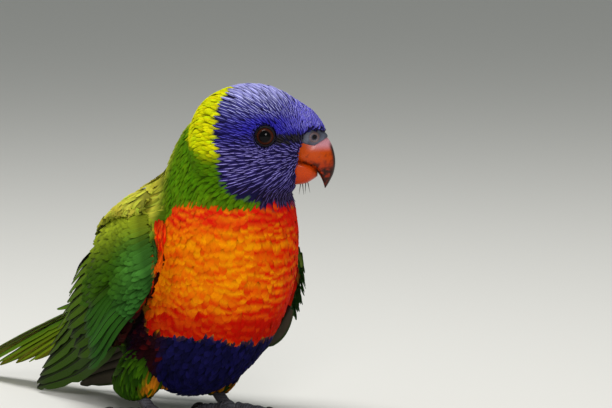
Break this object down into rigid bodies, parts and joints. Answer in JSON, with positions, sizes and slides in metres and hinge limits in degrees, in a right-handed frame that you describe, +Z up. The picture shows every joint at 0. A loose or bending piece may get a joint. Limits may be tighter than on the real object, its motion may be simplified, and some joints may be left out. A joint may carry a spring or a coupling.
{
  "type": "rainbow lorikeet bird model",
  "caption": "Life-size rainbow lorikeet standing low on the floor with its head turned left, wings slightly drooped and the long pointed tail touching the floor behind.",
  "frame": {"origin": "bottom centre of the bounding box, on the floor", "axes": "-Y the way the body faces, +Y along the tail, +X the bird's left, +Z up"},
  "size_m": [0.0804, 0.2364, 0.1354],
  "materials": {
    "hood_feathers": "soft violet-blue feathers with a silky sheen",
    "collar_feathers": "soft yellow-green feathers, matt",
    "body_feathers": "soft orange, red and dark blue feathers, matt",
    "back_feathers": "soft green feathers, slightly silky",
    "wing_feathers": "green vaned feathers, slightly silky",
    "tail_feathers": "green vaned feathers with yellow-green edges",
    "thigh_feathers": "loose green feathers, matt",
    "bill_horn": "orange-red horn, polished by wear",
    "cere": "dark grey bare skin, matt",
    "eye": "dark brown, wet and mirror-smooth",
    "eyelid_skin": "dark grey bare skin, matt",
    "leg_skin": "grey scaly skin, matt",
    "claw_horn": "blackish horn, slightly glossy"
  },
  "bodies": {
    "root": {"bill_lower": "bill_horn", "bill_upper": "bill_horn", "cere": "cere", "claw_inner_back_left": "claw_horn", "claw_inner_back_right": "claw_horn", "claw_inner_front_left": "claw_horn", "claw_inner_front_right": "claw_horn", "claw_outer_back_left": "claw_horn", "claw_outer_back_right": "claw_horn", "claw_outer_front_left": "claw_horn", "claw_outer_front_right": "claw_horn", "eye_left": "eye", "eye_right": "eye", "foot_left": "leg_skin", "foot_right": "leg_skin", "head": "hood_feathers", "lid_lower_left": "eyelid_skin", "lid_lower_right": "eyelid_skin", "lid_upper_left": "eyelid_skin", "lid_upper_right": "eyelid_skin", "neck": "collar_feathers", "rump": "back_feathers", "scapulars_left": "back_feathers", "scapulars_right": "back_feathers", "tail": "tail_feathers", "tarsus_left": "leg_skin", "tarsus_right": "leg_skin", "thigh_left": "thigh_feathers", "thigh_right": "thigh_feathers", "toe_inner_back_left": "leg_skin", "toe_inner_back_right": "leg_skin", "toe_inner_front_left": "leg_skin", "toe_inner_front_right": "leg_skin", "toe_outer_back_left": "leg_skin", "toe_outer_back_right": "leg_skin", "toe_outer_front_left": "leg_skin", "toe_outer_front_right": "leg_skin", "torso": "body_feathers", "wing_left": "wing_feathers", "wing_right": "wing_feathers"}
  },
  "joints": []
}
